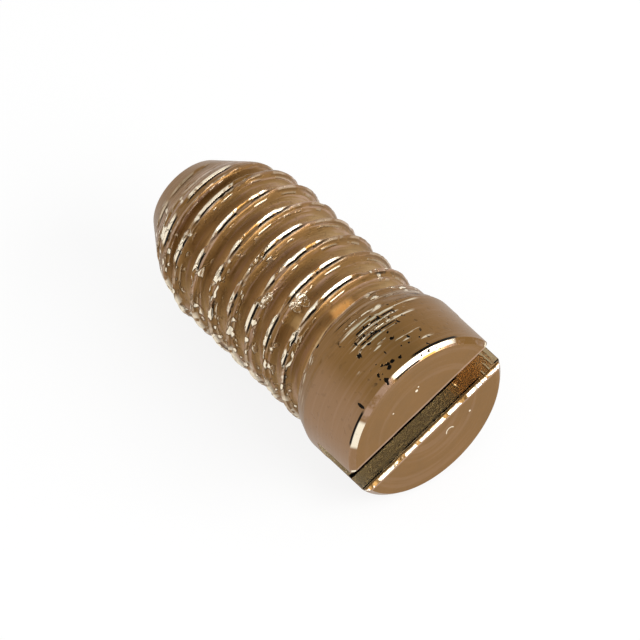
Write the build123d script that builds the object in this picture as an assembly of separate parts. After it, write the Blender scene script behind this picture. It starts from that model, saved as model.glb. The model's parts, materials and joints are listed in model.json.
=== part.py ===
from build123d import *
import math
import os

# Slotted clamping screw, turned from one brass bar, with a right hand M5 thread.
# It lies on its side. Its axis is X, the centre of its clamping tip is the origin, its head is at +X.
# Lengths are millimetres. Angles are degrees, and turns about the axis run from +Y towards +Z.

overall_length = 10.55

# Thread, over its crests, with narrow flats at crest and root
thread_diameter = 4.85
thread_pitch = 0.8
flank_angle = 30.0
crest_width = 0.05
root_width = 0.12
thread_turn = 21.0

# Clamping tip: a flat end with an eased edge, then a steep cone, then a slighter cone into the crests
tip_diameter = 2.54
tip_edge_radius = 0.16
point_angle = 33.0
lead_depth = 0.32
lead_length = 1.05

# Head: a plain cylinder with a bevelled rim, on a shoulder cone. The groove climbs out from before the cone
head_step = 0.2
head_length = 2.12
shoulder_length = 0.55
rim_chamfer = 0.14
runout_lead = 0.2
runout_length = 0.5

# Driver slot across the end of the head, with broken edges
slot_width = 1.03
slot_depth = 1.6
slot_lip = 0.1
slot_turn = 24.0

# How far each cutting tool passes the surface that it cuts
overrun = 0.05

thread_radius = thread_diameter / 2
tip_radius = tip_diameter / 2
head_radius = thread_radius + head_step

# The groove's depth follows from its flank angle and the two flats
flank_slope = math.tan(math.radians(flank_angle))
thread_depth = (thread_pitch - crest_width - root_width) / 2 / flank_slope
root_radius = thread_radius - thread_depth

# Places along the axis, from the tip to the head
lead_radius = thread_radius - lead_depth
lead_start = (lead_radius - tip_radius) / math.tan(math.radians(point_angle))
thread_start = lead_start + lead_length
head_start = overall_length - head_length
shoulder_start = head_start - shoulder_length
groove_entry = -thread_pitch
climb_start = shoulder_start - runout_lead
last_turn_start = climb_start - thread_pitch / 2 - overrun


def turned(profile):
    """A solid turned about the axis from a profile of (place along the axis, radius) points."""
    with BuildPart() as solid:
        with BuildSketch(Plane.XY):
            with BuildLine():
                Polyline(*profile, close=True)
            make_face()
        revolve(axis=Axis.X)
    return solid.part


def helix(start, length, cone_angle=0):
    """A right hand helix at the groove's root, which opens out on a cone where an angle is given."""
    return Helix(thread_pitch, length, root_radius, (start, 0, 0), (1, 0, 0), cone_angle)


def turned_by(start, end):
    """The angle that the helix turns through between two places along the axis."""
    return 360 * (end - start) / thread_pitch


def groove_section(start, height):
    """The V of the thread groove, which goes straight up from just outside the crests to a height."""
    flank_height = thread_depth + overrun / 2
    half_root = root_width / 2
    half_mouth = half_root + flank_height * flank_slope
    plane = Plane((start, 0, root_radius), x_dir=(1, 0, 0), z_dir=(0, -1, 0))
    with BuildSketch(plane) as section:
        with BuildLine():
            Polyline(
                (-half_root, 0),
                (half_root, 0),
                (half_mouth, flank_height),
                (half_mouth, height),
                (-half_mouth, height),
                (-half_mouth, flank_height),
                close=True,
            )
        make_face()
    return section.sketch


def even_groove():
    """The cutter for the whole turns of the groove, from clear of the tip to near its end."""
    section = groove_section(groove_entry, thread_depth + overrun)
    return sweep(section, path=helix(groove_entry, last_turn_start - groove_entry), is_frenet=True)


def last_groove():
    """The cutter for the end of the groove, which climbs out of the metal into the shoulder cone."""
    height = head_radius + overrun - root_radius
    climb_angle = math.degrees(math.atan(height / runout_length))
    level = helix(last_turn_start, climb_start - last_turn_start)
    climb = helix(climb_start, runout_length, climb_angle)
    climb = climb.rotate(Axis.X, turned_by(last_turn_start, climb_start))
    path = Wire([level.edge(), climb.edge()])
    cutter = sweep(groove_section(last_turn_start, height), path=path, is_frenet=True)
    return cutter.rotate(Axis.X, turned_by(groove_entry, last_turn_start))


def shank():
    """The threaded bar, with its end turned down to the clamping tip."""
    bar = turned(
        [
            (groove_entry, 0),
            (groove_entry, thread_radius),
            (head_start, thread_radius),
            (head_start, 0),
        ]
    )
    # behind the thread's start the form of the point opens on, clear of the crests
    clear_length = overall_length - thread_start
    clear_radius = thread_radius + clear_length * lead_depth / lead_length
    point = turned(
        [
            (0, 0),
            (0, tip_radius),
            (lead_start, lead_radius),
            (overall_length, clear_radius),
            (overall_length, 0),
        ]
    )
    tip_edge = point.edges().sort_by(Axis.X).first
    return (bar - even_groove()) & fillet(tip_edge, tip_edge_radius)


def head():
    """The head and its shoulder cone, with the bevel round its rim."""
    form = turned(
        [
            (shoulder_start, 0),
            (shoulder_start, thread_radius),
            (head_start, head_radius),
            (overall_length, head_radius),
            (overall_length, 0),
        ]
    )
    rim = form.edges().sort_by(Axis.X).last
    return chamfer(rim, rim_chamfer)


def driver_slot():
    """The cutter for the slot and its broken edges, right across the head."""
    half_slot = slot_width / 2
    half_lip = half_slot + slot_lip
    floor = overall_length - slot_depth
    lip_foot = overall_length - slot_lip
    above = overall_length + overrun
    with BuildPart() as cutter:
        with BuildSketch(Plane.XZ):
            with BuildLine():
                Polyline(
                    (floor, -half_slot),
                    (floor, half_slot),
                    (lip_foot, half_slot),
                    (overall_length, half_lip),
                    (above, half_lip),
                    (above, -half_lip),
                    (overall_length, -half_lip),
                    (lip_foot, -half_slot),
                    close=True,
                )
            make_face()
        extrude(amount=head_radius + overrun, both=True)
    return cutter.part.rotate(Axis.X, slot_turn)


def clamping_screw():
    """The finished screw."""
    threaded = shank() + head() - last_groove()
    # the groove is made with its start above the axis, a quarter turn on from +Y
    threaded = threaded.rotate(Axis.X, thread_turn - 90)
    screw = threaded - driver_slot()
    screw.label = "clamping_screw"
    return screw


os.makedirs("parts", exist_ok=True)
export_step(clamping_screw(), "parts/clamping_screw.step")
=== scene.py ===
import json
import math

import bpy
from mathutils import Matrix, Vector


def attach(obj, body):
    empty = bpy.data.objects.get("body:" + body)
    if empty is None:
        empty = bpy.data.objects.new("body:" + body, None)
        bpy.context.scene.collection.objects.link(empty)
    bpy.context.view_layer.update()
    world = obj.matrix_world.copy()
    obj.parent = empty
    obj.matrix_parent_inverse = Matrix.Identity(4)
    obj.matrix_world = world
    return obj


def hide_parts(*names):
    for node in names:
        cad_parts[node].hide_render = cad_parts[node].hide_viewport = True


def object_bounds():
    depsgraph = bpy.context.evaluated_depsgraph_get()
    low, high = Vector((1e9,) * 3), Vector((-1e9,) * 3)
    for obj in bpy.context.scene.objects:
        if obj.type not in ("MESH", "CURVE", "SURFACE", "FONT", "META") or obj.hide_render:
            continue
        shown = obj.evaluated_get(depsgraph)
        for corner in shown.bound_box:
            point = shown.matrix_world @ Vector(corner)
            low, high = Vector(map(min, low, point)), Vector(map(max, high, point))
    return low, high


bl_info = {
    "name": "Clamping screw",
    "version": (1, 0, 0),
    "blender": (4, 5, 0),
    "location": "3D View > Sidebar > Screw",
    "description": "Makes a slotted brass clamping screw with a helical thread, and a stage to show it on",
    "category": "Object",
}

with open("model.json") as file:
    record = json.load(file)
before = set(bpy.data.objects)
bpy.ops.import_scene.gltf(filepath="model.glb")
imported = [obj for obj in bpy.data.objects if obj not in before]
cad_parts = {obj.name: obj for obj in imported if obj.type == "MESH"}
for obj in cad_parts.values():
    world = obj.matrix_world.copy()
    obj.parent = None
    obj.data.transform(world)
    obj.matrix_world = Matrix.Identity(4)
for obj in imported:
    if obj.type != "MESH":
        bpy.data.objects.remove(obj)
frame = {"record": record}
cad_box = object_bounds()
MOUNTS = {mount["name"]: mount for mount in frame["record"]["mounts"]}

NODE = "clamping_screw"
NEAR_EDGE = "near_edge"
DENTED = "dented"

MM = 0.001
TURN = 2 * math.pi
SENSOR_WIDTH = 36.0


# Sizes and colours that a user would change

def length(name, description, default):
    """A length property, in metres."""
    return bpy.props.FloatProperty(
        name=name, description=description, default=default, min=0.0, unit="LENGTH", precision=5
    )


def angle(name, description, degrees):
    """An angle property, in radians."""
    return bpy.props.FloatProperty(
        name=name, description=description, default=math.radians(degrees), subtype="ANGLE"
    )


def colour(name, description, default):
    """A colour property, in linear values."""
    return bpy.props.FloatVectorProperty(
        name=name, description=description, default=default, size=4, min=0.0, max=1.0, subtype="COLOR"
    )


def amount(name, description, default, most):
    """A plain number property, from nothing to a greatest value."""
    return bpy.props.FloatProperty(
        name=name, description=description, default=default, min=0.0, max=most
    )


class ScrewSizes(bpy.types.PropertyGroup):
    """The screw's sizes, as in the part's source."""

    overall_length: length("Overall length", "From tip to slotted face", MOUNTS["slotted_end"]["pos_m"][0])
    thread_radius: length("Thread radius", "To the crests", MOUNTS["thread"]["dims"]["r_mm"] * MM)
    head_radius: length("Head radius", "Of the plain cylinder", MOUNTS["head_shaft"]["dims"]["r_mm"] * MM)
    pitch: length("Pitch", "From crest to crest", 0.8 * MM)
    flank_angle: angle("Flank angle", "Between a flank and a plane across the axis", 30)
    crest_width: length("Crest width", "Flat on the crests", 0.05 * MM)
    root_width: length("Root width", "Flat in the roots", 0.12 * MM)
    thread_turn: angle("Thread turn", "Where the groove lies at the tip, from +Y towards +Z", 21)
    tip_radius: length("Tip radius", "Of the flat end, with a sharp edge", 1.27 * MM)
    tip_edge_radius: length("Tip edge radius", "Rounding of the flat end's edge", 0.16 * MM)
    point_angle: angle("Point angle", "Between the first cone and the axis", 33)
    lead_depth: length("Lead depth", "Depth of the second cone under the crests", 0.32 * MM)
    lead_length: length("Lead length", "Of the second cone", 1.05 * MM)
    head_length: length("Head length", "Of the plain cylinder", 2.12 * MM)
    shoulder_length: length("Shoulder length", "Of the cone under the head", 0.55 * MM)
    rim_chamfer: length("Rim chamfer", "Bevel round the slotted face", 0.14 * MM)
    runout_lead: length("Run-out lead", "From where the groove starts to climb to the cone", 0.2 * MM)
    runout_length: length("Run-out length", "Along the axis, where the groove climbs out", 0.5 * MM)
    slot_width: length("Slot width", "Between the slot's walls", 1.03 * MM)
    slot_depth: length("Slot depth", "Below the face", 1.6 * MM)
    slot_lip: length("Slot lip", "Bevel along the slot's edges", 0.1 * MM)
    slot_turn: angle("Slot turn", "Of the slot's line, from +Y towards +Z", 24)
    rolled_width: length("Rolled width", "Metal rolled over on the tip side of each crest", 0.11 * MM)
    rolled_height: length("Rolled height", "Height of its ridge", 0.045 * MM)
    worn_bevel: length("Worn bevel", "Wear on the head side of each crest", 0.028 * MM)
    dent_depth: length("Dent depth", "Deepest dent in the crests", 0.06 * MM)
    burr_height: length("Burr height", "Crumbs of metal pushed up along the crests", 0.02 * MM)
    seed: bpy.props.IntProperty(name="Seed", description="Of the dents and burrs", default=4, min=0)


class BrassLook(bpy.types.PropertyGroup):
    """The colours of the brass, some of which are also painted as light and shade."""

    tarnished: colour("Tarnished", "Brown skin on the flat and turned faces", (0.235, 0.118, 0.032, 1))
    golden: colour("Golden", "Cleaner brass between the crests", (0.300, 0.172, 0.056, 1))
    # Also painted as a sheen on the crests' worn corners and the head's low side
    rubbed_and_sheen: colour("Rubbed", "Pale pinkish brass along edges and turning lines", (0.500, 0.330, 0.240, 1))
    # Also painted as highlights and as the floor's reflection on the crests, crumbs, rim and head lines
    bright: colour("Bright", "Bare brass where it is knocked or burnished", (0.950, 0.840, 0.650, 1))
    orange: colour("Orange", "Heat tint by the end of the thread", (0.980, 0.620, 0.240, 1))
    # Root is painted lighter than the metal, as fill light in the groove's bottom and the slot, against their
    # shade
    root: colour("Root", "Clean brass at the bottom of the groove and in the slot", (0.680, 0.470, 0.240, 1))
    # Olive is painted on the slot's walls lighter than the metal, as fill light in the dim slot
    olive: colour("Olive", "Duller brass on the walls of the driver slot", (0.680, 0.610, 0.480, 1))
    # Also painted as shade in the hollows beside the crumbs
    shade: colour("Shade", "Darker brown of the tarnish", (0.150, 0.085, 0.030, 1))
    # Black for grime in pits, and painted as shade and dark reflections in seams, lines, the rim and the slot
    dirt: colour("Dirt", "Black dirt in seams and pits", (0.010, 0.008, 0.006, 1))


class StageLook(bpy.types.PropertyGroup):
    """The studio round the screw."""

    floor: colour("Floor", "Colour of the floor", (0.86, 0.86, 0.86, 1))
    horizon: colour("Horizon", "Studio light at the floor line", (1.0, 1.0, 1.0, 1))
    ceiling: colour("Ceiling", "Studio light overhead", (0.85, 0.85, 0.85, 1))
    gap: colour("Gap", "Dimmer part of the ceiling, over the tip", (0.50, 0.52, 0.47, 1))
    key_strength: amount("Key strength", "Brightness of the soft box", 7.0, 100.0)


# Node trees, written as plain arithmetic

class Graph:
    """A node tree in the making."""

    def __init__(self, tree):
        self.tree = tree

    def node(self, kind, feeds=None, **settings):
        """A new node, with its settings and what feeds its inputs, by name or number."""
        made = self.tree.nodes.new(kind)
        for name, value in settings.items():
            setattr(made, name, value)
        for key, value in (feeds or {}).items():
            self.feed(made.inputs[key], value)
        return made

    def feed(self, socket, value):
        """Links a worked-out value to a socket, or sets a plain one on it."""
        if isinstance(value, Value):
            self.tree.links.new(value.socket, socket)
        elif isinstance(value, bpy.types.NodeSocket):
            self.tree.links.new(value, socket)
        else:
            socket.default_value = value

    def out(self, made, key=0):
        """One output of a node, as a value."""
        return Value(self, made.outputs[key])

    def math(self, operation, *values):
        """A number worked out from others."""
        made = self.node("ShaderNodeMath", operation=operation)
        for socket, value in zip(made.inputs, values):
            self.feed(socket, value)
        return self.out(made)

    def vector(self, x=0.0, y=0.0, z=0.0):
        """A vector from three numbers."""
        return self.out(self.node("ShaderNodeCombineXYZ", {"X": x, "Y": y, "Z": z}))

    def parts(self, vector):
        """The three numbers in a vector."""
        made = self.node("ShaderNodeSeparateXYZ", {"Vector": vector})
        return [self.out(made, key) for key in "XYZ"]

    def least(self, *values):
        """The least of some numbers."""
        result = values[0]
        for value in values[1:]:
            result = self.math("MINIMUM", result, value)
        return result

    def most(self, *values):
        """The greatest of some numbers."""
        result = values[0]
        for value in values[1:]:
            result = self.math("MAXIMUM", result, value)
        return result

    def ramp(self, value, start, end):
        """A number that goes smoothly from 0 to 1 as the value goes from start to end."""
        made = self.node("ShaderNodeMapRange", interpolation_type="SMOOTHSTEP")
        for socket, entry in zip(made.inputs, (value, start, end)):
            self.feed(socket, entry)
        return self.out(made)

    def band(self, value, start, end, soft):
        """One between two values and nothing outside them, with soft ends."""
        risen = self.ramp(value, start - soft, start + soft)
        return risen * (1.0 - self.ramp(value, end - soft, end + soft))

    def near_turn(self, turn, degrees, full, none):
        """One within an angle of a turn round the screw, and nothing outside a wider one, in degrees."""
        facing = self.math("COSINE", turn - math.radians(degrees))
        return self.ramp(facing, math.cos(math.radians(none)), math.cos(math.radians(full)))

    def noise(self, vector, scale, detail=2.0, roughness=0.5):
        """Even noise from 0 to 1."""
        feeds = {"Vector": vector, "Scale": scale, "Detail": detail, "Roughness": roughness}
        return self.out(self.node("ShaderNodeTexNoise", feeds))

    def blend(self, factor, first, second):
        """A colour between two."""
        made = self.node("ShaderNodeMix", data_type="RGBA")
        self.feed(made.inputs["Factor"], factor)
        self.feed(made.inputs[6], first)
        self.feed(made.inputs[7], second)
        return self.out(made, 2)


class Value:
    """What a node puts out, which can be added, multiplied and so on."""

    def __init__(self, graph, socket):
        self.graph = graph
        self.socket = socket

    def __add__(self, other):
        return self.graph.math("ADD", self, other)

    def __radd__(self, other):
        return self.graph.math("ADD", other, self)

    def __sub__(self, other):
        return self.graph.math("SUBTRACT", self, other)

    def __rsub__(self, other):
        return self.graph.math("SUBTRACT", other, self)

    def __mul__(self, other):
        return self.graph.math("MULTIPLY", self, other)

    def __rmul__(self, other):
        return self.graph.math("MULTIPLY", other, self)

    def __truediv__(self, other):
        return self.graph.math("DIVIDE", self, other)

    def __pow__(self, other):
        return self.graph.math("POWER", self, other)


# The screw, worked out in millimetres and scaled at the end

TIP_ROWS = 26
ROWS_PER_PITCH = 32
HEAD_ROWS = 96
COLUMNS = 168
# The thread's rows start at this share of the tip's first cone
BAND_START = 0.6
# How far the thread's rows crowd towards the crests, and the head's towards the slotted face
CREST_CROWDING = 0.55
FACE_CROWDING = 1.6
CREST_ROUNDING = 0.03
ROOT_ROUNDING = 0.05
RIM_ROUNDING = 0.02
# How far the groove's climb and the slot's cutter pass the metal
OVERRUN = 0.05
WELD = 0.0004
# How far the surface keeps inside the CAD box, round the head and at the ends
SKIN_INSET = 0.003
END_INSET = 0.001
# Edges that turn by more than this, in radians, are shaded sharp, and faces that face straight along are flat
SHARP_EDGE = 0.6
FACES_ALONG = 0.9995
# How steeply the worn bevel rises with the groove's wall
BEVEL_SLOPE = 0.577
# How far each step of the seed moves the dents and burrs
SEED_SHIFT = (7.3, 3.1)
# Points along the slot cutter's three sides
CUTTER_POINTS = (34, 150, 2)
# Where metal is rolled over on the crests: the turn round the screw, and how far it lasts in full and at all
ROLLED_PLACES = ((104, 18, 32), (150, 9, 16))


class Form:
    """The screw's radii, slopes and places along it, worked out from the tree's inputs."""

    def __init__(self, g, size):
        self.whole = size["Overall length"] - END_INSET
        self.crest = size["Thread radius"]
        self.head = size["Head radius"] - SKIN_INSET
        self.face = self.head - size["Rim chamfer"]
        self.pitch = size["Pitch"]
        self.slope = g.math("TANGENT", size["Flank angle"])
        groove_depth = (self.pitch - size["Crest width"] - size["Root width"]) / 2.0 / self.slope
        self.root = self.crest - groove_depth
        self.cone_slope = g.math("TANGENT", size["Point angle"])
        self.lead = self.crest - size["Lead depth"]
        self.lead_start = (self.lead - size["Tip radius"]) / self.cone_slope
        self.head_start = self.whole - size["Head length"]
        self.shoulder_start = self.head_start - size["Shoulder length"]
        # the tip's eased edge is an arc that touches its end and its cone
        edge = size["Tip edge radius"]
        slant = g.math("SQRT", 1.0 + self.cone_slope * self.cone_slope)
        self.tip_flat = size["Tip radius"] + edge * self.cone_slope - edge * slant
        self.edge_end = edge - edge * self.cone_slope / slant


def screw_inputs(sizes):
    """The tree's inputs: each name with its value in millimetres or radians."""
    entries = {}
    for key, entry in sizes.bl_rna.properties.items():
        if key in ("rna_type", "name", "seed"):
            continue
        value = getattr(sizes, key)
        entries[entry.name] = value / MM if entry.unit == "LENGTH" else value
    return entries


def rolled_reach(g, turn, along, shoulder_start):
    """One where metal is rolled over on the crests, which ends before the shoulder."""
    near = g.most(*(g.near_turn(turn, *place) for place in ROLLED_PLACES))
    return near * (1.0 - g.ramp(along, shoulder_start - 0.35, shoulder_start - 0.05))


def wound_grid(g, size, form):
    """A grid to wrap round the screw, with each point's place along it and its turn round it."""
    band_start = form.lead_start * BAND_START
    winding = g.math("CEIL", (form.head_start - band_start) / form.pitch + 1.0)
    thread_rows = winding * float(ROWS_PER_PITCH)
    rows = thread_rows + float(TIP_ROWS + HEAD_ROWS)
    grid = g.node(
        "GeometryNodeMeshGrid",
        {"Size X": 1.0, "Size Y": 1.0, "Vertices X": rows, "Vertices Y": COLUMNS + 1},
    )
    index = g.out(g.node("GeometryNodeInputIndex"))
    row = g.math("FLOOR", (index + 0.5) / float(COLUMNS + 1))
    column = index - row * float(COLUMNS + 1)
    turn = column * (TURN / COLUMNS)

    tip_part = g.least(row / float(TIP_ROWS - 1), 1.0)
    tip_place = tip_part * tip_part * band_start
    # Between the tip's cone and the head the rows follow the thread, crowded towards its crests.
    thread_row = row - float(TIP_ROWS)
    even = band_start / form.pitch + thread_row / float(ROWS_PER_PITCH) - 1.0 + size["Thread turn"] / TURN
    crowded = even + g.math("SINE", even * TURN) * (CREST_CROWDING / TURN)
    wound = (crowded + (turn - size["Thread turn"]) / TURN) * form.pitch
    wound_place = g.least(g.most(wound, band_start), form.head_start)
    head_part = g.most(row - thread_rows - float(TIP_ROWS - 1), 0.0) / float(HEAD_ROWS)
    head_place = form.head_start + (form.whole - form.head_start) * (1.0 - (1.0 - head_part) ** FACE_CROWDING)
    is_thread = g.math("GREATER_THAN", thread_row, -0.5)
    is_head = g.math("GREATER_THAN", thread_row - thread_rows, -0.5)
    along = tip_place + is_thread * (wound_place - tip_place)
    along = along + is_head * (head_place - along)
    return g.out(grid), along, turn


def turned_outline(g, size, form, along):
    """The turned screw's radius at a place along it, before the groove is cut."""
    edge = size["Tip edge radius"]
    across = along - edge
    rounded = form.tip_flat + g.math("SQRT", g.most(edge * edge - across * across, 0.0))
    on_edge = g.math("LESS_THAN", along, form.edge_end)
    first_cone = size["Tip radius"] + along * form.cone_slope
    first_cone = first_cone + on_edge * (rounded - first_cone)
    second_cone = form.lead + (along - form.lead_start) * (size["Lead depth"] / size["Lead length"])
    point = g.math("SMOOTH_MIN", first_cone, second_cone, CREST_ROUNDING)
    shank = g.math("SMOOTH_MIN", point, form.crest, CREST_ROUNDING)
    climb = (along - form.shoulder_start) / size["Shoulder length"]
    step = form.head - form.crest
    shoulder = g.math("SMOOTH_MIN", form.crest + step * climb, form.head, CREST_ROUNDING)
    outline = g.most(shank, g.least(shoulder, form.head))
    outline = g.least(outline, form.crest + step * g.most(g.least(climb, 1.0), 0.0))
    past_lead = g.math("GREATER_THAN", along, form.lead_start + size["Lead length"])
    outline = g.least(outline, g.most(point, past_lead * form.head))
    bevel = form.head - (along - (form.whole - size["Rim chamfer"]))
    return g.math("SMOOTH_MIN", outline, bevel, RIM_ROUNDING)


def threaded_skin(g, size, form):
    """The turned and threaded surface, with the wear of its crests, open at both ends."""
    grid, along, turn = wound_grid(g, size, form)
    outline = turned_outline(g, size, form, along)
    cosine, sine = g.math("COSINE", turn), g.math("SINE", turn)

    # The groove. On the rough side, metal is rolled over towards the tip, and narrows it.
    phase = along / form.pitch - (turn - size["Thread turn"]) / TURN
    from_centre = phase - g.math("FLOOR", phase + 0.5)
    centre = along - from_centre * form.pitch
    climb_start = form.shoulder_start - size["Run-out lead"]
    climb_height = form.head + OVERRUN - form.root
    climb_out = g.most(centre - climb_start, 0.0) / size["Run-out length"] * climb_height
    rolled = rolled_reach(g, turn, along, form.shoulder_start) * g.ramp(along, 0.25, 0.6)
    rolled_over = rolled * size["Rolled width"] * g.ramp(from_centre, 0.08, 0.34)
    aside = g.math("ABSOLUTE", from_centre) * form.pitch - size["Root width"] / 2.0 + rolled_over
    groove = form.root + climb_out + g.math("SMOOTH_MAX", aside, 0.0, ROOT_ROUNDING) / form.slope
    nearness = groove - outline

    # The crests: a worn bevel on the head side, a ridge of rolled metal on the tip side, dents and burrs
    ring = g.vector(along, outline * cosine, outline * sine)
    shift = g.vector(size["Seed"] * SEED_SHIFT[0], size["Seed"] * SEED_SHIFT[1])
    spot = g.out(g.node("ShaderNodeVectorMath", {0: ring, 1: shift}, operation="ADD"))
    from_crest = (phase - g.math("FLOOR", phase) - 0.5) * form.pitch
    tip_side = 1.0 - g.ramp(from_crest, -0.03, 0.01)
    worn = size["Worn bevel"] * (0.45 + 1.1 * g.noise(spot, 0.9, 2.0, 0.5))
    bevelled = groove * BEVEL_SLOPE + outline * (1.0 - BEVEL_SLOPE) - worn + tip_side * 0.4
    on_crest = g.ramp(nearness, -0.16, -0.02) * (1.0 - g.ramp(nearness, 0.25, 0.45))
    knocks = g.ramp(g.noise(spot, 1.7, 3.0, 0.6), 0.54, 0.74)
    burrs = g.ramp(g.noise(spot, 8.0, 2.0, 0.6), 0.5, 0.75) * size["Burr height"]
    outline = outline - on_crest * (knocks * size["Dent depth"] + burrs)
    outline = outline - rolled * g.ramp(from_crest, -0.115, -0.055) * size["Rolled height"]
    bevelled = bevelled - on_crest * burrs

    radius = g.math("SMOOTH_MIN", groove, outline, CREST_ROUNDING)
    radius = g.math("SMOOTH_MIN", radius, bevelled, CREST_ROUNDING / 2.0)
    placed = g.vector(g.most(along, END_INSET), radius * cosine, radius * sine)
    skin = g.out(g.node("GeometryNodeSetPosition", {"Geometry": grid, "Position": placed}))
    skin = store(g, skin, NEAR_EDGE, g.least(g.most(nearness, -1.0), 1.0))
    skin = store(g, skin, DENTED, on_crest * knocks)
    return g.out(g.node("GeometryNodeFlipFaces", {"Mesh": skin}))


def end_disc(g, place, radius, inside_out):
    """A flat end, which faces the head unless it is turned inside out."""
    disc = g.node("GeometryNodeMeshCircle", {"Vertices": COLUMNS, "Radius": radius}, fill_type="NGON")
    turned = g.node(
        "GeometryNodeTransform",
        {
            "Geometry": g.out(disc),
            "Translation": g.vector(place),
            "Rotation": (math.pi / 2, 0.0, math.pi / 2),
        },
    )
    facing = g.node("GeometryNodeFlipFaces", {"Mesh": g.out(turned), "Selection": inside_out})
    return store(g, g.out(facing), NEAR_EDGE, 1.0)


def slot_cutter(g, size):
    """The cutter for the slot, with uneven lips."""
    long_side = size["Head radius"] * 2.0 + 0.4
    made = g.node("GeometryNodeMeshCube", {"Vertices " + axis: n for axis, n in zip("XYZ", CUTTER_POINTS)})
    x, y, z = g.parts(g.out(g.node("GeometryNodeInputPosition")))
    fall = (0.5 - x) ** 2.2
    place = size["Overall length"] + OVERRUN - fall * (size["Slot depth"] + OVERRUN)
    lengthwise = y * long_side
    depth = size["Overall length"] - place
    shift = g.vector(lengthwise, z * 9.0, size["Seed"])
    lip = size["Slot lip"] * (0.75 + 0.4 * g.noise(shift, 0.8, 1.0, 0.5))
    lumps = g.noise(g.vector(lengthwise, depth * 2.0, z * 9.0), 2.6, 2.0, 0.5) - 0.5
    flare = g.math("SMOOTH_MAX", lip - depth, 0.0, 0.03) + lumps * 0.035 * (1.0 - g.ramp(depth, 0.0, 0.35))
    half = size["Slot width"] / 2.0 + flare
    moved = g.node(
        "GeometryNodeSetPosition",
        {"Geometry": g.out(made), "Position": g.vector(place, lengthwise, g.math("SIGN", z) * half)},
    )
    turned = g.node(
        "GeometryNodeTransform",
        {
            "Geometry": store(g, g.out(moved), NEAR_EDGE, 1.0),
            "Rotation": g.vector(size["Slot turn"], 0.0, 0.0),
        },
    )
    return g.out(turned)


def shaded(g, geometry):
    """Smooth shading, with flat ends and sharp edges."""
    along = g.parts(g.out(g.node("GeometryNodeInputNormal")))[0]
    curved = g.math("LESS_THAN", g.math("ABSOLUTE", along), FACES_ALONG)
    smooth = g.node("GeometryNodeSetShadeSmooth", {"Geometry": geometry, "Shade Smooth": curved})
    edge_angle = g.out(g.node("GeometryNodeInputMeshEdgeAngle"))
    sharp = g.math("GREATER_THAN", edge_angle, SHARP_EDGE)
    creased = g.node(
        "GeometryNodeSetShadeSmooth",
        {"Geometry": g.out(smooth), "Selection": sharp, "Shade Smooth": False},
        domain="EDGE",
    )
    return g.out(creased)


def store(g, geometry, name, value):
    """Keeps a number on each point, for the material."""
    made = g.node(
        "GeometryNodeStoreNamedAttribute",
        {"Geometry": geometry, "Name": name, "Value": value},
        data_type="FLOAT",
        domain="POINT",
    )
    return g.out(made)


def screw_tree(sizes, brass):
    """The Geometry Nodes tree that makes the screw from its sizes."""
    tree = bpy.data.node_groups.new("Turned screw", "GeometryNodeTree")
    tree.interface.new_socket("Geometry", in_out="OUTPUT", socket_type="NodeSocketGeometry")
    for name in (*screw_inputs(sizes), "Seed"):
        tree.interface.new_socket(name, in_out="INPUT", socket_type="NodeSocketFloat")
    g = Graph(tree)
    source = g.node("NodeGroupInput")
    size = {socket.name: g.out(source, socket.name) for socket in source.outputs if socket.name}
    form = Form(g, size)

    joined = g.node("GeometryNodeJoinGeometry")
    g.feed(joined.inputs[0], threaded_skin(g, size, form))
    g.feed(joined.inputs[0], end_disc(g, END_INSET, form.tip_flat, True))
    g.feed(joined.inputs[0], end_disc(g, form.whole, form.face, False))
    blank = g.node("GeometryNodeMergeByDistance", {"Geometry": g.out(joined), "Distance": WELD})
    slotted = g.node("GeometryNodeMeshBoolean", operation="DIFFERENCE", solver="EXACT")
    g.feed(slotted.inputs["Mesh 1"], g.out(blank))
    g.feed(slotted.inputs["Mesh 2"], slot_cutter(g, size))
    screw = shaded(g, g.out(slotted))
    scaled = g.node("GeometryNodeTransform", {"Geometry": screw, "Scale": (MM, MM, MM)})
    realised = g.node("GeometryNodeRealizeInstances", {"Geometry": g.out(scaled)})
    finished = g.node("GeometryNodeSetMaterial", {"Geometry": g.out(realised), "Material": brass})
    g.node("NodeGroupOutput", {"Geometry": g.out(finished)})
    return tree


def made_with_nodes(name, tree, values):
    """A plain mesh object that a Geometry Nodes tree makes from named values."""
    holder = bpy.data.objects.new(name + ".making", bpy.data.meshes.new(name + ".making"))
    bpy.context.scene.collection.objects.link(holder)
    modifier = holder.modifiers.new("Making", "NODES")
    modifier.node_group = tree
    for socket in tree.interface.items_tree:
        if socket.in_out == "INPUT":
            modifier[socket.identifier] = float(values[socket.name])
    evaluated = holder.evaluated_get(bpy.context.evaluated_depsgraph_get())
    mesh = bpy.data.meshes.new_from_object(evaluated)
    mesh.name = name
    holder.modifiers.remove(modifier)
    bpy.data.objects.remove(holder)
    piece = bpy.data.objects.new(name, mesh)
    bpy.context.scene.collection.objects.link(piece)
    return piece


# Finish, with places in millimetres and turns in degrees from +Y towards +Z

# Sides of the screw: a turn round it, and how far from there a mark lasts in full and at all. Pits and the
# tint are the metal's own; the other sides carry painted highlights, painted reflections of the floor and
# painted dark reflections.
# The upper side towards the light, where highlights and dark reflections are painted on the crests and
# turning lines
HIGHLIGHT_SIDE = (100, 14, 24)
CRUMB_SHEEN_SIDE = (180, 30, 46)
FLOOR_SHEEN_SIDE = (203, 8, 17)
HEAD_SHEEN_SIDE = (172, 15, 42)
PITTED_SIDE = (103, 18, 26)
SCRATCH_HIGHLIGHT_SIDE = (103, 18, 28)
TINTED_SIDE = (101, 7, 13)
UPPER_RIM_HIGHLIGHT = (92, 22, 26)
LOWER_RIM_HIGHLIGHT = (160, 8, 11)
RIM_DARK_REFLECTION = (106, 8, 12)
UPPER_DARK_REFLECTION = (82, 14, 19)
LOWER_DARK_REFLECTION = (156, 10, 14)

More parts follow.
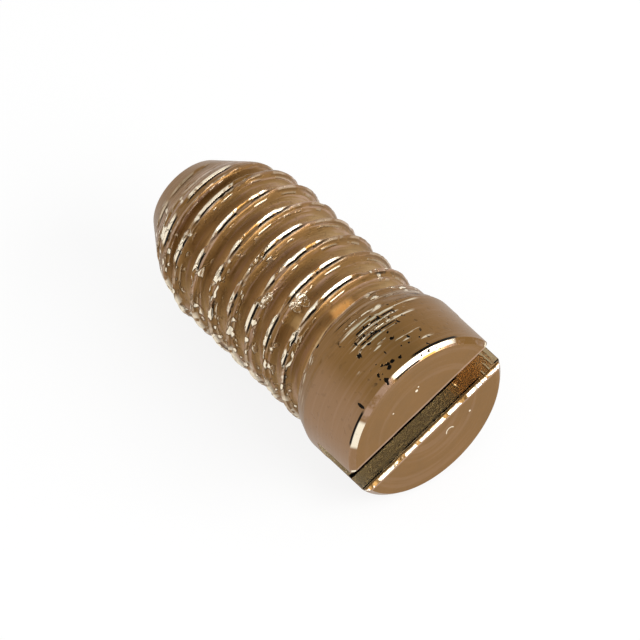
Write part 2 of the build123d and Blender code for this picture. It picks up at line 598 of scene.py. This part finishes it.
# Single marks. Lines have a place, a turn and a reach in degrees.
# Turning lines on the head, painted as highlights, and dark lines painted as dark reflections over real
# grooves
HIGHLIGHT_LINES = ((8.27, 104, 8), (8.60, 92, 6), (8.76, 98, 12), (8.93, 101, 12), (9.12, 108, 7))
DARK_REFLECTION_LINES = ((8.68, 99, 13), (8.86, 112, 5), (9.03, 106, 8))
# Pits and flakes have a place, a turn, half a length and half a width
PITS = (
    (10.16, 113.5, 0.07, 0.09),
    (10.07, 109.5, 0.06, 0.08),
    (10.22, 142.0, 0.17, 0.05),
    (7.85, 134.0, 0.05, 0.08),
)
FLAKES = (
    (5.82, 108.5, 0.10, 0.11),
    (6.36, 119.0, 0.16, 0.16),
    (6.38, 126.0, 0.12, 0.12),
    (6.85, 136.0, 0.22, 0.24),
    (5.55, 136.0, 0.08, 0.26),
    (1.22, 156.0, 0.10, 0.26),
)
# Specks on the slotted face have a place in y and z and half a width
SPECKS = ((-0.40, 1.38, 0.035), (-0.34, 1.50, 0.02), (1.45, -0.62, 0.025), (-1.2, 1.0, 0.02))

# How metallic and how rough the tarnish and the bare brass are
TARNISH_METAL, BARE_METAL = 0.75, 1.0
TARNISH_ROUGH, BARE_ROUGH = 0.36, 0.24
TINT_METAL_LOSS = 0.5


class Skin:
    """The brass surface in the making: where a point lies, its colour so far, its relief and its masks."""

    def __init__(self, g, look, size):
        self.g = g
        self.look = look
        # The head's radius, and places along the screw and across the slot
        self.whole = size["Overall length"]
        self.head = size["Head radius"]
        self.bevel_start = self.whole - size["Rim chamfer"]
        self.lip_start = self.whole - size["Slot lip"]
        self.slot_floor = self.whole - size["Slot depth"]
        self.head_start = self.whole - size["Head length"]
        self.shoulder_start = self.head_start - size["Shoulder length"]
        self.half_slot = size["Slot width"] / 2
        self.half_mouth = self.half_slot + size["Slot lip"]

        # Where on the screw the point lies, in millimetres and radians
        place = g.out(g.node("ShaderNodeTexCoord"), "Object")
        to_mm = g.node("ShaderNodeVectorMath", {0: place, 1: (1 / MM, 1 / MM, 1 / MM)}, operation="MULTIPLY")
        self.spot = g.out(to_mm)
        self.x, self.y, self.z = g.parts(self.spot)
        self.radius = g.math("SQRT", self.y * self.y + self.z * self.z)
        self.turn = g.math("ARCTAN2", self.z, self.y)
        self.near_edge = g.out(g.node("ShaderNodeAttribute", attribute_name=NEAR_EDGE), "Fac")
        self.dented = g.out(g.node("ShaderNodeAttribute", attribute_name=DENTED), "Fac")
        phase = self.x / size["Pitch"] - (self.turn - size["Thread turn"]) / TURN
        self.from_crest = (g.math("FRACT", phase) - 0.5) * size["Pitch"]
        slot_cos, slot_sin = math.cos(size["Slot turn"]), math.sin(size["Slot turn"])
        self.across = g.math("ABSOLUTE", self.z * slot_cos - self.y * slot_sin)
        self.lengthwise = self.y * slot_cos + self.z * slot_sin

        # Noise that several marks share
        self.ragged = g.noise(self.spot, 7.0, 2.0, 0.6)
        self.mottle = g.noise(self.spot, 1.3, 4.0, 0.65)
        self.grit = g.noise(self.spot, 4.2, 0.6, 0.5)
        self.barwise = g.noise(g.vector(self.x * 11.0, self.y * 0.35, self.z * 0.35), 1.0, 3.0, 0.65)

        # Zones
        beside_slot = g.math("GREATER_THAN", self.across, self.half_mouth - 0.05)
        self.on_face = g.math("GREATER_THAN", self.x, self.whole - 0.002) * beside_slot
        self.off_face = 1.0 - self.on_face
        before_shoulder = 1.0 - g.ramp(self.x, self.shoulder_start - 0.1, self.shoulder_start + 0.3)
        self.threaded = before_shoulder * g.ramp(self.x, 0.3, 0.9)
        self.on_head = g.ramp(self.x, self.head_start - 0.1, self.head_start + 0.1)
        self.head_side = g.ramp(self.from_crest, -0.02, 0.02)
        elsewhere = g.vector(self.x + 4.0, self.y - 2.5, self.z + 9.0)
        patches = g.ramp(g.noise(elsewhere, 0.45, 1.0, 0.5), 0.60, 0.70)
        # Where painted highlights gather on the upper side, and painted reflections of the floor on the
        # crumbs lower down, each with random patches
        self.highlight_side_and_patches = g.most(self.near(HIGHLIGHT_SIDE), patches * 0.8)
        self.crumb_sheen_side = g.most(self.near(CRUMB_SHEEN_SIDE), patches)
        self.tint = g.band(self.x, 7.22, 7.56, 0.05) * self.near(TINTED_SIDE)

        self.base = look.tarnished
        self.relief = self.mottle * 0.01
        # Masks of grime and of painted shade and dark reflections, and of bare metal
        self.dirt = []
        self.bare = []

    def near(self, side):
        """One on a side of the screw, given as a turn and how far it lasts in full and at all."""
        return self.g.near_turn(self.turn, *side)

    def paint(self, cover, colour):
        """Lays a colour over what is there, as far as it covers."""
        self.base = self.g.blend(cover, self.base, colour)

    def line_at(self, place, degrees, reach, half_width, fading):
        """A line round part of the screw, with a reach in degrees that fades out over some more."""
        line = self.g.band(self.x, place - half_width, place + half_width, 0.012)
        return line * self.near((degrees, reach, reach + fading))

    def blotch_at(self, place, degrees, half_length, half_width):
        """A ragged spot at a place along the screw and a turn round it."""
        g = self.g
        angle = math.radians(degrees)
        beside = (self.z * math.cos(angle) - self.y * math.sin(angle)) / half_width
        behind = (self.x - place) / half_length
        outward = g.math("GREATER_THAN", self.y * math.cos(angle) + self.z * math.sin(angle), 0.0)
        reach = g.math("SQRT", beside * beside + behind * behind) + (self.ragged - 0.5) * 1.6
        return (1.0 - g.ramp(reach, 0.8, 1.0)) * outward


def lay_tarnish(skin):
    """The brown skin, cleaner brass in the groove with its bottom painted lighter as fill light, turning
    lines that follow the thread, bar or face, and a painted sheen from the floor on the head's low side.
    """
    g, look = skin.g, skin.look
    x, y, z = skin.x, skin.y, skin.z
    threadwise = g.noise(g.vector(skin.from_crest * 15.0, y * 0.6 + x * 0.8, z * 0.6), 1.0, 3.0, 0.6)
    facewise = g.noise(g.vector(skin.radius * 5.0, y * 0.3, z * 0.3), 1.0, 3.0, 0.55)
    lines = skin.barwise + skin.threaded * (threadwise - skin.barwise)
    lines = lines + skin.on_face * (facewise - lines)
    streaky = 0.15 + 0.85 * skin.threaded
    skin.paint(g.ramp(skin.mottle, 0.35, 0.7) * 0.18, look.shade)
    skin.paint((1.0 - g.ramp(skin.near_edge, -0.40, -0.02)) * skin.threaded, look.golden)
    # The groove's bottom painted lighter, as fill light against its shade
    skin.paint((1.0 - g.ramp(skin.near_edge, -0.60, -0.22)) * skin.threaded, look.root)
    skin.paint(g.ramp(lines, 0.5, 0.66) * streaky * 0.6, look.rubbed_and_sheen)
    skin.paint((1.0 - g.ramp(lines, 0.30, 0.48)) * streaky * 0.4, look.shade)
    # A painted sheen from the floor on the head's low side
    skin.paint(skin.on_head * skin.near(HEAD_SHEEN_SIDE) * skin.off_face * 0.26, look.rubbed_and_sheen)
    skin.relief = skin.relief + lines * 0.006


def wear_crests(skin):
    """Painted highlights on the crests, on the rolled ridge on the tip side, the worn corners and the second
    ridge, strongest on the side towards the light, and black seams painted as dark reflections beside them.
    """
    g, look = skin.g, skin.look
    near_edge, from_crest = skin.near_edge, skin.from_crest
    on_head_side = skin.head_side * skin.threaded
    broken = g.noise(g.vector(from_crest * 2.0, skin.y * 1.6 + skin.x, skin.z * 1.6), 1.0, 3.0, 0.6)
    highlight_strength = 0.25 + 0.75 * skin.highlight_side_and_patches
    rolled = rolled_reach(g, skin.turn, skin.x, skin.shoulder_start) * skin.threaded
    rolled_ridge_highlight = g.band(from_crest, -0.135, -0.060, 0.012) * rolled
    furrow_dark_reflection = g.band(from_crest, -0.055, 0.012, 0.010) * rolled * g.ramp(broken, 0.40, 0.50)
    corner = g.band(near_edge, -0.040, 0.055, 0.012) * on_head_side * (1.0 - rolled * 0.7)
    seam_dark_reflection = g.band(near_edge, -0.115, -0.055, 0.012) * on_head_side
    seam_dark_reflection = g.most(seam_dark_reflection * g.ramp(broken, 0.40, 0.50) * highlight_strength * (1.0 - rolled), furrow_dark_reflection)
    ridge = g.band(near_edge, -0.19, -0.14, 0.015) * on_head_side * g.ramp(broken, 0.50, 0.58)
    far_corner = g.band(near_edge, -0.03, 0.03, 0.015) * (1.0 - skin.head_side) * skin.threaded
    # Painted highlights: the worn corners, the second ridge and the rolled ridge, strongest on the side
    # towards the light
    skin.paint(corner * highlight_strength * 0.7, look.rubbed_and_sheen)
    skin.paint(corner * g.ramp(broken, 0.46, 0.56) * highlight_strength, look.bright)
    skin.paint(ridge * highlight_strength * 0.8, look.bright)
    skin.paint(rolled_ridge_highlight * g.ramp(broken, 0.42, 0.52), look.bright)
    skin.paint(far_corner * 0.4, look.rubbed_and_sheen)
    # The seams and furrows are painted black as dark reflections, over a real groove in the relief
    skin.relief = skin.relief + ridge * 0.01 - seam_dark_reflection * 0.02
    skin.dirt.append(seam_dark_reflection)
    skin.bare += [corner, rolled_ridge_highlight, ridge]


def strew_crumbs(skin):
    """Crumbs, raised in the relief and painted pale as the floor's reflection, with painted shade in the
    hollows beside them, knocks, and a painted reflection of the floor along the low side of the crests.
    """
    g, look = skin.g, skin.look
    beads = g.noise(g.vector(skin.from_crest * 8.0, skin.y * 3.2 + skin.x, skin.z * 3.2), 1.0, 1.0, 0.5)
    beaded = skin.crumb_sheen_side * skin.threaded * g.ramp(skin.near_edge, -0.32, -0.18)
    crumb_sheen = g.ramp(beads, 0.59, 0.63) * beaded
    hollow_shade = g.band(beads, 0.535, 0.575, 0.012) * beaded * 0.7
    knock = g.ramp(skin.dented, 0.3, 0.8) * g.ramp(skin.grit, 0.50, 0.58)
    # A painted reflection of the floor on the low side of the crests, broken by grit
    floor_sheen = skin.near(FLOOR_SHEEN_SIDE) * skin.threaded * g.ramp(skin.near_edge, -0.16, -0.06)
    floor_sheen = floor_sheen * g.ramp(skin.grit, 0.36, 0.50)
    # Painted shade in the hollows round the crumbs; the crumbs and the crests' low side painted pale as the
    # floor's reflection, the knocks as bare metal
    skin.paint(hollow_shade, look.shade)
    skin.paint(g.most(crumb_sheen, knock, floor_sheen * 0.8), look.bright)
    skin.relief = skin.relief + crumb_sheen * 0.03 - hollow_shade * 0.015 + skin.grit * skin.dented * 0.03
    skin.bare.append(crumb_sheen)


def mark_head(skin):
    """Turning lines on the shoulder and head painted as highlights and dark reflections, pits, short
    scratches painted as highlights, and the tint by the thread's end.
    """
    g, look = skin.g, skin.look
    # Turning lines on the side towards the light, painted as highlights and dark reflections
    shoulder = g.band(skin.x, skin.shoulder_start + 0.1, skin.head_start + 0.75, 0.08) * skin.highlight_side_and_patches
    pale_line_highlight = g.ramp(skin.barwise, 0.58, 0.66) * shoulder
    dark_line_reflection = (1.0 - g.ramp(skin.barwise, 0.36, 0.43)) * shoulder
    for mark in HIGHLIGHT_LINES:
        pale_line_highlight = g.most(pale_line_highlight, skin.line_at(*mark, 0.02, 5) * g.ramp(skin.ragged, 0.36, 0.46))
    for mark in DARK_REFLECTION_LINES:
        dark_line_reflection = g.most(dark_line_reflection, skin.line_at(*mark, 0.03, 3) * g.ramp(skin.ragged, 0.40, 0.50))
    pitted = 0.10 + 0.90 * skin.on_head * skin.near(PITTED_SIDE)
    pit = g.ramp(g.noise(skin.spot, 6.5, 1.0, 0.4), 0.635, 0.68) * pitted * skin.off_face
    pit = g.most(pit, *(skin.blotch_at(*mark) for mark in PITS))
    fine = g.noise(g.vector(skin.x * 9.0, skin.y * 1.4, skin.z * 1.4), 1.0, 2.0, 0.5)
    # Short scratches painted as highlights on the side towards the light
    scratch = g.ramp(fine, 0.66, 0.73) * skin.on_head * skin.near(SCRATCH_HIGHLIGHT_SIDE) * skin.off_face
    skin.paint(skin.tint * g.ramp(skin.ragged, 0.25, 0.45), look.orange)
    skin.paint(pale_line_highlight, look.bright)
    skin.paint(scratch * 0.8, look.bright)
    skin.relief = skin.relief - pit * 0.02 - dark_line_reflection * 0.01
    skin.dirt += [dark_line_reflection, pit]
    skin.bare.append(pale_line_highlight)


def tear_flakes(skin):
    """Flakes torn out of the crests."""
    g = skin.g
    flake = g.most(*(skin.blotch_at(*mark) for mark in FLAKES)) * g.ramp(skin.ragged, 0.34, 0.44)
    skin.paint(flake * 0.9, skin.look.bright)
    skin.relief = skin.relief + flake * skin.grit * 0.05
    skin.bare.append(flake)


def finish_rim(skin):
    """The bevel round the slotted face, with painted highlights in two places and painted dark reflections
    beside them.
    """
    g, look, x = skin.g, skin.look, skin.x
    start, whole = skin.bevel_start, skin.whole
    on_bevel = g.ramp(x, start - 0.01, start + 0.01) * g.ramp(skin.radius, skin.head - 0.17, skin.head - 0.13)
    on_bevel = on_bevel * skin.off_face
    outer_half = 1.0 - g.ramp(x, start + 0.08, start + 0.10)
    skin.paint(on_bevel * 0.6 * g.ramp(skin.mottle, 0.45, 0.6), look.rubbed_and_sheen)
    # Painted highlights on the bevel, one on the upper side and one on the lower
    skin.paint(on_bevel * skin.near(UPPER_RIM_HIGHLIGHT) * outer_half, look.bright)
    skin.paint(on_bevel * skin.near(LOWER_RIM_HIGHLIGHT), look.bright)
    # Painted dark reflections: black lines at the bevel's top edge and just under it
    skin.dirt.append(g.band(x, whole - 0.05, whole - 0.005, 0.008) * skin.near(RIM_DARK_REFLECTION) * on_bevel)
    skin.dirt.append(g.band(x, start - 0.09, start - 0.01, 0.01) * skin.near(UPPER_DARK_REFLECTION) * skin.off_face)
    skin.dirt.append(g.band(x, start - 0.06, start + 0.01, 0.01) * skin.near(LOWER_DARK_REFLECTION))
    skin.bare.append(on_bevel)


def finish_slot(skin):
    """The slot's walls, painted lighter and olive as fill light, with painted shade deep down and under the
    lip, and its bare, patchy lip.
    """
    g, look = skin.g, skin.look
    x, across, lengthwise = skin.x, skin.across, skin.lengthwise
    below_lip = 1.0 - g.ramp(x, skin.lip_start - 0.04, skin.lip_start)
    in_slot = g.ramp(x, skin.slot_floor - 0.03, skin.slot_floor - 0.01) * below_lip
    in_slot = in_slot * (1.0 - g.ramp(across, skin.half_slot + 0.01, skin.half_slot + 0.04))
    in_slot = in_slot * (1.0 - g.ramp(skin.radius, skin.head - 0.03, skin.head - 0.01))
    slot_fill_light = in_slot * (1.0 - g.ramp(lengthwise, 1.0, 1.4) * 0.6)
    deep_slot_shade = in_slot * g.band(x, skin.whole - 0.78, skin.whole - 0.645, 0.02)
    blotch = g.noise(g.vector(x * 1.5, lengthwise * 1.3, across), 1.0, 3.0, 0.6)
    under_lip_shade = g.band(x, skin.lip_start - 0.08, skin.lip_start - 0.03, 0.01) * in_slot
    on_lip = (1.0 - below_lip) * g.ramp(across, skin.half_slot - 0.1, skin.half_slot) * skin.off_face
    on_lip = on_lip * (1.0 - g.ramp(across, skin.half_mouth, skin.half_mouth + 0.03))
    lip_edge = g.ramp(across, skin.half_slot + 0.03, skin.half_slot + 0.05)
    lip_line = g.band(across, skin.half_mouth - 0.02, skin.half_mouth + 0.05, 0.015) * skin.on_face
    bits = g.noise(g.vector(x * 3.0, lengthwise * 2.6, across * 2.0), 1.0, 2.0, 0.6)
    # The slot's walls painted lighter as fill light, olive except towards one end
    skin.paint(in_slot, look.root)
    skin.paint(slot_fill_light, look.olive)
    skin.paint(on_lip * 0.8, look.shade)
    skin.paint(on_lip * lip_edge * g.ramp(bits, 0.45, 0.51), look.bright)
    skin.paint(lip_line * 0.6, look.rubbed_and_sheen)
    skin.relief = skin.relief + on_lip * blotch * 0.03
    # Painted shade deep in the slot and under the lip
    skin.dirt.append(deep_slot_shade * g.ramp(1.6 - lengthwise, 0.0, 0.3))
    skin.dirt.append(under_lip_shade * g.ramp(blotch, 0.42, 0.5))
    skin.bare += [in_slot, on_lip]


def mark_face(skin):
    """A few specks and one curved scratch on the slotted face."""
    g, y, z = skin.g, skin.y, skin.z
    marks = []
    for place_y, place_z, half in SPECKS:
        reach = g.math("SQRT", (y - place_y) ** 2.0 + (z - place_z) ** 2.0)
        marks.append(1.0 - g.ramp(reach, half, half * 1.5))
    from_middle = g.math("SQRT", (y - 0.78) ** 2.0 + (z + 0.98) ** 2.0)
    marks.append(g.band(from_middle, 0.12, 0.15, 0.012) * g.ramp(z - y * 0.5, -1.38, -1.30))
    skin.paint(g.most(*marks) * skin.on_face, skin.look.bright)


def brass_material(look, sizes):
    """Tarnished brass, cleaner in the groove and bare where it is worn, with painted highlights, painted
    reflections of the floor, painted fill light and painted shade.
    """
    material = bpy.data.materials.new("Brass")
    material.use_nodes = True
    material.node_tree.nodes.clear()
    g = Graph(material.node_tree)
    skin = Skin(g, look, screw_inputs(sizes))
    for finish in (
        lay_tarnish,
        wear_crests,
        strew_crumbs,
        mark_head,
        tear_flakes,
        finish_rim,
        finish_slot,
        mark_face,
    ):
        finish(skin)
    # Grime in the pits, and black painted shade and dark reflections in the seams, lines, rim and slot
    dirt = g.most(*skin.dirt)
    skin.paint(dirt, look.dirt)
    bare = g.most(dirt, *skin.bare)
    metal = TARNISH_METAL + (BARE_METAL - TARNISH_METAL) * bare - TINT_METAL_LOSS * skin.tint
    rough = TARNISH_ROUGH - (TARNISH_ROUGH - BARE_ROUGH) * bare
    bump = g.node("ShaderNodeBump", {"Height": skin.relief, "Distance": MM, "Strength": 1.0})
    shader = g.node(
        "ShaderNodeBsdfPrincipled",
        {"Base Color": skin.base, "Metallic": metal, "Roughness": rough, "Normal": g.out(bump)},
    )
    g.node("ShaderNodeOutputMaterial", {"Surface": g.out(shader)})
    return material


# Stage

# The photograph's view: turn and height of the camera, its distance, and what it aims at and takes in
VIEW_TURN = math.radians(51.93)
VIEW_HEIGHT = math.radians(46.60)
VIEW_DISTANCE = 436.5 * MM
VIEW_CENTRE = Vector((5.664, 0.106, -0.228)) * MM
VIEW_WIDTH = 17.461 * MM
CLIP_START, CLIP_END = 0.01, 10.0

# Directions of the ceiling's gap and the soft box. The box's distance and sides are in metres
GAP_DIRECTION = (-0.543, 0.1, 0.834)
BOX_DIRECTION = (0.76, 0.31, 0.57)
BOX_DISTANCE = 0.12
BOX_SIDES = (0.11, 0.05)

FLOOR_HALF = 2.0
# How much of the floor's own white shows to the camera and in the metal. The rest is lit, for the shadow.
FLOOR_WHITE = 0.85


def aimed(item, place, target):
    """Puts a camera or lamp at a place, looking at a target."""
    item.location = place
    item.rotation_mode = "QUATERNION"
    item.rotation_quaternion = (target - place).to_track_quat("-Z", "Y")


def photo_camera():
    """The camera, at the photograph's viewing angle."""
    lens = bpy.data.cameras.new("Camera")
    lens.sensor_width = SENSOR_WIDTH
    lens.lens = SENSOR_WIDTH * VIEW_DISTANCE / VIEW_WIDTH
    lens.clip_start = CLIP_START
    lens.clip_end = CLIP_END
    camera = bpy.data.objects.new("Camera", lens)
    bpy.context.scene.collection.objects.link(camera)
    back = Vector(
        (
            math.sin(VIEW_TURN) * math.cos(VIEW_HEIGHT),
            -math.cos(VIEW_TURN) * math.cos(VIEW_HEIGHT),
            math.sin(VIEW_HEIGHT),
        )
    )
    aimed(camera, VIEW_CENTRE + back * VIEW_DISTANCE, VIEW_CENTRE)
    bpy.context.scene.camera = camera


def soft_box(strength):
    """A soft rectangular lamp of a given brightness, aimed at the screw."""
    width, height = BOX_SIDES
    lamp = bpy.data.lights.new("Soft box", "AREA")
    lamp.shape = "RECTANGLE"
    lamp.size = width
    lamp.size_y = height
    lamp.energy = strength * math.pi * width * height
    item = bpy.data.objects.new("Soft box", lamp)
    bpy.context.scene.collection.objects.link(item)
    aimed(item, VIEW_CENTRE + Vector(BOX_DIRECTION).normalized() * BOX_DISTANCE, VIEW_CENTRE)
    item.visible_camera = False


def studio_world(look):
    """A pale studio, with a dimmer gap in the ceiling."""
    world = bpy.data.worlds.new("Studio")
    world.use_nodes = True
    world.node_tree.nodes.clear()
    g = Graph(world.node_tree)
    direction = g.out(g.node("ShaderNodeTexCoord"), "Generated")
    height = g.parts(direction)[2]
    towards = g.node("ShaderNodeVectorMath", {0: direction, 1: GAP_DIRECTION}, operation="DOT_PRODUCT")
    tone = g.blend(g.ramp(height, 0.15, 0.65), look.horizon, look.ceiling)
    tone = g.blend(g.ramp(g.out(towards, "Value"), 0.86, 0.97), tone, look.gap)
    light = g.node("ShaderNodeBackground", {"Color": tone, "Strength": 1.0})
    g.node("ShaderNodeOutputWorld", {"Surface": g.out(light)})
    bpy.context.scene.world = world


def floor_material(look):
    """Pale floor that shows as white to the camera and in the metal, and keeps a soft shadow."""
    material = bpy.data.materials.new("Floor")
    material.use_nodes = True
    material.node_tree.nodes.clear()
    g = Graph(material.node_tree)
    path = g.node("ShaderNodeLightPath")
    rays = (g.out(path, "Is Camera Ray"), g.out(path, "Is Glossy Ray"), g.out(path, "Is Transmission Ray"))
    seen = g.most(*rays)
    matt = g.node("ShaderNodeBsdfDiffuse", {"Color": look.floor})
    white = g.node("ShaderNodeEmission", {"Color": (1.0, 1.0, 1.0, 1.0), "Strength": 1.0})
    mixed = g.node("ShaderNodeMixShader", {"Fac": seen * FLOOR_WHITE, 1: g.out(matt), 2: g.out(white)})
    g.node("ShaderNodeOutputMaterial", {"Surface": g.out(mixed)})
    return material


def floor_plane(look):
    """The floor, just under the screw's head."""
    height = cad_box[0][2]
    mesh = bpy.data.meshes.new("Floor")
    corners = [(x * FLOOR_HALF, y * FLOOR_HALF, height) for x, y in ((-1, -1), (1, -1), (1, 1), (-1, 1))]
    mesh.from_pydata(corners, [], [(0, 1, 2, 3)])
    mesh.materials.append(floor_material(look))
    floor = bpy.data.objects.new("Floor", mesh)
    bpy.context.scene.collection.objects.link(floor)


# Operators, panel and registration

class MakeScrew(bpy.types.Operator):
    """Make the screw: its thread, head, slot and finish"""

    bl_idname = "clamping_screw.make_screw"
    bl_label = "Make screw"

    def execute(self, context):
        sizes = context.scene.screw_sizes
        brass = brass_material(context.scene.brass_look, sizes)
        values = screw_inputs(sizes)
        values["Seed"] = sizes.seed
        tree = screw_tree(sizes, brass)
        screw = made_with_nodes("Screw", tree, values)
        if not screw.data.polygons:
            raise RuntimeError("The screw came out empty")
        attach(screw, "root")
        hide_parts(NODE)
        return {"FINISHED"}


class MakeStage(bpy.types.Operator):
    """Make the floor, the studio light and the camera"""

    bl_idname = "clamping_screw.make_stage"
    bl_label = "Make stage"

    def execute(self, context):
        look = context.scene.stage_look
        photo_camera()
        studio_world(look)
        floor_plane(look)
        soft_box(look.key_strength)
        context.scene.view_settings.view_transform = "Standard"
        return {"FINISHED"}


class ScrewPanel(bpy.types.Panel):
    """Sizes, colours and steps, in the sidebar"""

    bl_idname = "VIEW3D_PT_clamping_screw"
    bl_label = "Clamping screw"
    bl_space_type = "VIEW_3D"
    bl_region_type = "UI"
    bl_category = "Screw"

    def draw(self, context):
        scene = context.scene
        for group in (scene.screw_sizes, scene.brass_look, scene.stage_look):
            column = self.layout.column(align=True)
            for key in group.bl_rna.properties.keys():
                if key not in ("rna_type", "name"):
                    column.prop(group, key)
        self.layout.operator(MakeScrew.bl_idname)
        self.layout.operator(MakeStage.bl_idname)


CLASSES = (ScrewSizes, BrassLook, StageLook, MakeScrew, MakeStage, ScrewPanel)


def register():
    """Makes the classes and the scene's settings known."""
    for entry in CLASSES:
        bpy.utils.register_class(entry)
    bpy.types.Scene.screw_sizes = bpy.props.PointerProperty(type=ScrewSizes)
    bpy.types.Scene.brass_look = bpy.props.PointerProperty(type=BrassLook)
    bpy.types.Scene.stage_look = bpy.props.PointerProperty(type=StageLook)


def unregister():
    """Takes them away again."""
    del bpy.types.Scene.stage_look
    del bpy.types.Scene.brass_look
    del bpy.types.Scene.screw_sizes
    for entry in reversed(CLASSES):
        bpy.utils.unregister_class(entry)


def main():
    """Makes everything in order."""
    register()
    bpy.ops.clamping_screw.make_stage()
    bpy.ops.clamping_screw.make_screw()


if __name__ == "__main__":
    main()
